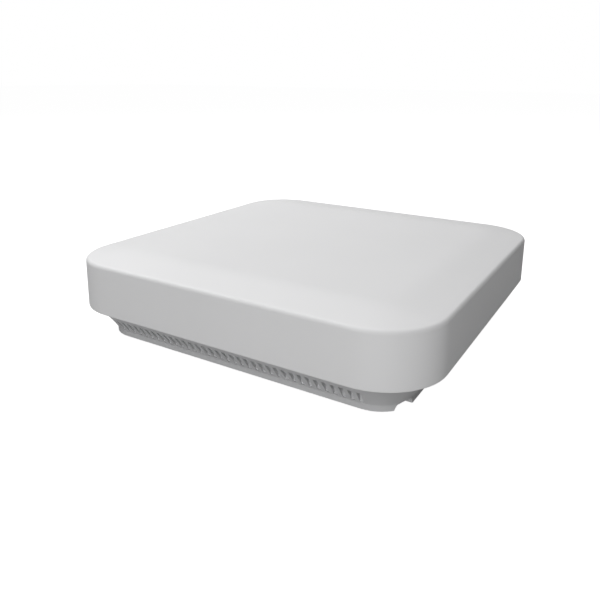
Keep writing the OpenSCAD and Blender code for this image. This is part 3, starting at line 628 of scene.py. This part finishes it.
BOTTOM_CHAMFER = 0.25
GROOVE_PLACE = 0.22                 # as a share of the can's height
GROOVE_DEPTH = 0.3
TOP_ROUND = 0.35
TOP_ROUND_MIDDLE = 0.1              # inset of the point half way round it, inwards and down
RIM_INNER = 0.6                     # inset of the rim's inner edge
RIM_FOOT = 0.7                      # inset where the rim meets the dished end
TOP_DISH = 0.12                     # how far the can's end lies under its rim
SCORE_REACH = 0.6                   # as a share of the can's radius
SCORE_HALF = 0.08                   # half the width of a score
SCORE_DEPTH = 0.08
SCORE_PAST = 0.3                    # how far the cut reaches over the can's end
CAN_SIDES = 40


def can_profile(low, high, radius):
    """Section of a can from its bottom to its dished end."""
    groove = low + GROOVE_PLACE * (high - low)
    return [(radius - BOTTOM_CHAMFER, low), (radius, low + BOTTOM_CHAMFER), (radius, groove - GROOVE_DEPTH),
            (radius - GROOVE_DEPTH, groove), (radius, groove + GROOVE_DEPTH), (radius, high - TOP_ROUND),
            (radius - TOP_ROUND_MIDDLE, high - TOP_ROUND_MIDDLE), (radius - TOP_ROUND, high),
            (radius - RIM_INNER, high), (radius - RIM_FOOT, high - TOP_DISH)]


def capacitor_cans():
    """One piece that replaces all the capacitors."""
    meshes = []
    for corners in solids("capacitors"):
        place = middle(corners)
        high = corners[1].z
        radius = (corners[1].x - corners[0].x) / 2
        can = lathe("can", place, can_profile(corners[0].z, high, radius), CAN_SIDES)
        reach = radius * SCORE_REACH
        centre = Vector((place.x, place.y, high - TOP_DISH))
        down = Vector((0, 0, SCORE_DEPTH))
        over = Vector((0, 0, SCORE_PAST))
        scores = []
        for half in (Vector((reach, SCORE_HALF, 0)), Vector((SCORE_HALF, reach, 0))):
            scores.append(("DIFFERENCE", box_mesh("score", centre - half - down, centre + half + over)))
        meshes.append(boolean(can, scores))
    mesh = smooth_by_angle(joined("cans_drawn", meshes), 30)
    add_object("cans_drawn", mesh, slot="can_aluminium", replaces=["capacitors"])


capacitor_cans()


# ---- CAD nodes that stay: material, small rounds on the edges, clean shading ----

EDGE_ROUNDS = {                     # millimetres, by the slot's material
    "base_plastic": 0.22, "board_laminate": 0.06, "chip_resin": 0.1, "shield_tin": 0.04, "pad_silicone": 0.12,
    "plate_aluminium": 0.08, "contact_gold": 0.05, "antenna_steel": 0.05, "screw_steel": 0.08,
    "socket_plastic": 0.12, "button_plastic": 0.1, "lamp_resin": 0.08, "pipe_clear": 0.12,
    "latch_plastic": 0.3, "lock_steel": 0.08, "label_film": 0.03,
}
ROUND_FROM = math.radians(40)       # edges sharper than this are rounded


def refine(node, slot):
    """Finish of a CAD node that is shown as it is."""
    obj = frame["nodes"][node]
    obj.data.materials.clear()
    obj.data.materials.append(MATERIALS[slot])
    weld = obj.modifiers.new("weld", "WELD")
    weld.merge_threshold = WELD_GAP
    if slot == "lead_jacket":
        rounder = obj.modifiers.new("round", "SUBSURF")
        rounder.levels = 1
        rounder.render_levels = 1
        return
    if slot in EDGE_ROUNDS:
        bevel = obj.modifiers.new("edges", "BEVEL")
        bevel.width = EDGE_ROUNDS[slot] * MM
        bevel.segments = 2
        bevel.limit_method = "ANGLE"
        bevel.angle_limit = ROUND_FROM
    shading = obj.modifiers.new("shading", "WEIGHTED_NORMAL")
    shading.keep_sharp = True


for part in frame["record"]["subparts"]:
    refine(part["node"], part["material_slot"])


# ---- Stage: white floor, soft studio light, camera; in metres ----

FLOOR_HALF = 6.0
FLOOR_TONE = 0.35                   # share of the light that the floor gives back
FLOOR_GLOW = 0.95                   # seen by the camera alone, so that it doesn't light the object
SKY_LIGHT = 0.12
CAMERA_PLACE = (0.15933, -0.28708, 0.13431)
CAMERA_AZIMUTH = math.radians(30.99)
CAMERA_ELEVATION = math.radians(21.1)
CAMERA_ROLL = math.radians(0.54)
CAMERA_LENS = 34.98                 # millimetres, on a sensor 36 mm wide
SENSOR = 36.0
LIGHTS = (                          # name, place, target, size, watts
    ("front_right", (0.45, -0.75, 0.85), (0, 0, 0.02), (0.6, 0.6), 3.2),
    ("front_low", (0.24, -0.84, 0.11), (0.03, 0, 0.02), (0.5, 0.16), 1.9),
    ("top", (-0.45, 0.3, 1.0), (0, 0, 0.03), (0.8, 0.8), 6.3),
    ("left", (-0.5, 0.05, 0.55), (0, 0, 0.03), (0.4, 0.6), 2.0),
)


def floor():
    """Flat floor that the camera sees as white."""
    half = FLOOR_HALF
    mesh = bpy.data.meshes.new("floor")
    corners = [(-half, -half, 0), (half, -half, 0), (half, half, 0), (-half, half, 0)]
    mesh.from_pydata(corners, [], [(0, 1, 2, 3)])
    obj = bpy.data.objects.new("floor", mesh)
    bpy.context.scene.collection.objects.link(obj)
    made, tree, shader = new_material("floor")
    shader.inputs["Base Color"].default_value = (FLOOR_TONE, FLOOR_TONE, FLOOR_TONE, 1)
    shader.inputs["Roughness"].default_value = 0.9
    shader.inputs["Specular IOR Level"].default_value = 0.0
    glow = tree.nodes.new("ShaderNodeEmission")
    glow.inputs["Strength"].default_value = FLOOR_GLOW
    lit = tree.nodes.new("ShaderNodeAddShader")
    path = tree.nodes.new("ShaderNodeLightPath")
    mix = tree.nodes.new("ShaderNodeMixShader")
    tree.links.new(shader.outputs["BSDF"], lit.inputs[0])
    tree.links.new(glow.outputs["Emission"], lit.inputs[1])
    tree.links.new(path.outputs["Is Camera Ray"], mix.inputs["Fac"])
    tree.links.new(shader.outputs["BSDF"], mix.inputs[1])
    tree.links.new(lit.outputs["Shader"], mix.inputs[2])
    tree.links.new(mix.outputs["Shader"], tree.nodes["Material Output"].inputs["Surface"])
    mesh.materials.append(made)


def world():
    """Faint even light on the object, white behind it."""
    made = bpy.data.worlds.new("studio")
    bpy.context.scene.world = made
    made.use_nodes = True
    tree = made.node_tree
    background = tree.nodes["Background"]
    background.inputs["Color"].default_value = (1, 1, 1, 1)
    background.inputs["Strength"].default_value = SKY_LIGHT
    seen = tree.nodes.new("ShaderNodeBackground")
    seen.inputs["Color"].default_value = (1, 1, 1, 1)
    seen.inputs["Strength"].default_value = 1.0
    path = tree.nodes.new("ShaderNodeLightPath")
    mix = tree.nodes.new("ShaderNodeMixShader")
    tree.links.new(path.outputs["Is Camera Ray"], mix.inputs["Fac"])
    tree.links.new(background.outputs["Background"], mix.inputs[1])
    tree.links.new(seen.outputs["Background"], mix.inputs[2])
    tree.links.new(mix.outputs["Shader"], tree.nodes["World Output"].inputs["Surface"])


def camera():
    """Camera that looks at the object from its front right, turned a little about its own axis."""
    level = math.cos(CAMERA_ELEVATION)
    back = Vector((math.sin(CAMERA_AZIMUTH) * level, -math.cos(CAMERA_AZIMUTH) * level,
                   math.sin(CAMERA_ELEVATION)))
    data = bpy.data.cameras.new("camera")
    data.lens = CAMERA_LENS
    data.sensor_width = SENSOR
    data.clip_start = 0.01
    obj = bpy.data.objects.new("camera", data)
    bpy.context.scene.collection.objects.link(obj)
    obj.location = CAMERA_PLACE
    obj.rotation_mode = "QUATERNION"
    obj.rotation_quaternion = (-back).to_track_quat("-Z", "Y") @ Quaternion((0, 0, 1), CAMERA_ROLL)
    bpy.context.scene.camera = obj


def area_light(name, place, target, size, power):
    """Rectangular lamp that shines from its place at a target."""
    data = bpy.data.lights.new(name, "AREA")
    data.shape = "RECTANGLE"
    data.size, data.size_y = size
    data.energy = power
    obj = bpy.data.objects.new(name, data)
    bpy.context.scene.collection.objects.link(obj)
    obj.location = place
    obj.rotation_mode = "QUATERNION"
    obj.rotation_quaternion = (Vector(target) - Vector(place)).to_track_quat("-Z", "Y")


floor()
world()
camera()
for light in LIGHTS:
    area_light(*light)
bpy.context.scene.view_settings.view_transform = "Standard"
